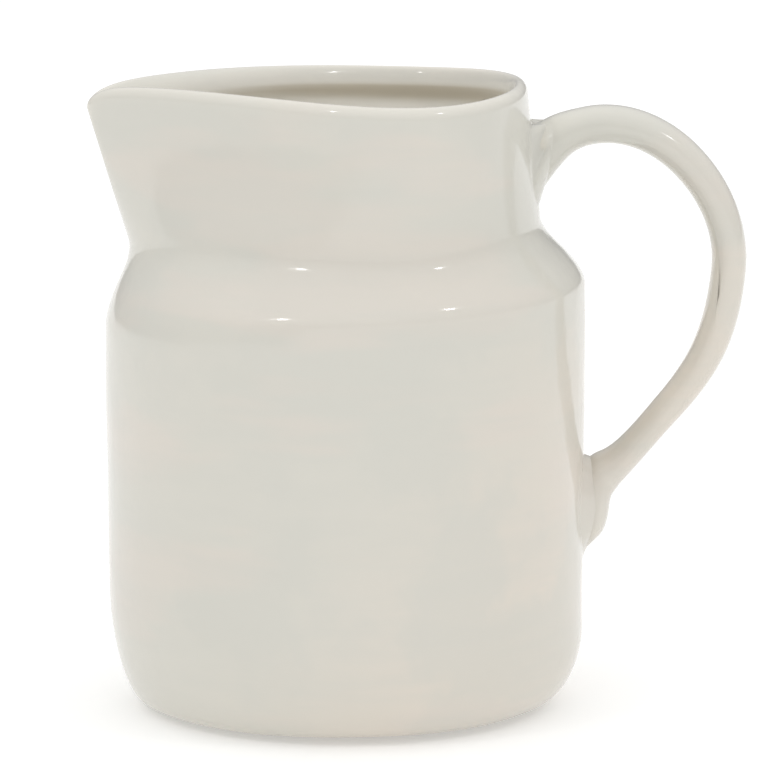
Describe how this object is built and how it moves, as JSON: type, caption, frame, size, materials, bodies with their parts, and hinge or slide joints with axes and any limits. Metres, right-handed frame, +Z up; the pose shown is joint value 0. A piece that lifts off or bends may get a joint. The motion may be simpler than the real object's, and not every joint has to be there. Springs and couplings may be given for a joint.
{
  "type": "ceramic pitcher",
  "caption": "White glazed ceramic pitcher with a rounded body, sloping shoulder, pulled spout and looped strap handle.",
  "frame": {"origin": "on the surface that the pitcher stands on, under the middle of its bounding box; the vessel's axis is 22 mm towards the spout from it", "axes": "+Z up, -X towards the spout, +X towards the handle, Y across the pitcher"},
  "size_m": [0.1994, 0.1458, 0.1916],
  "materials": {
    "white_glaze": "glossy warm white glaze, slightly uneven, with fine pinholes",
    "bare_clay": "unglazed, matt and slightly gritty"
  },
  "bodies": {
    "root": {"vessel_body": "white_glaze", "handle": "white_glaze", "upper_luting_collar": "white_glaze", "lower_luting_pad": "white_glaze", "foot_ring": "bare_clay"}
  },
  "joints": []
}
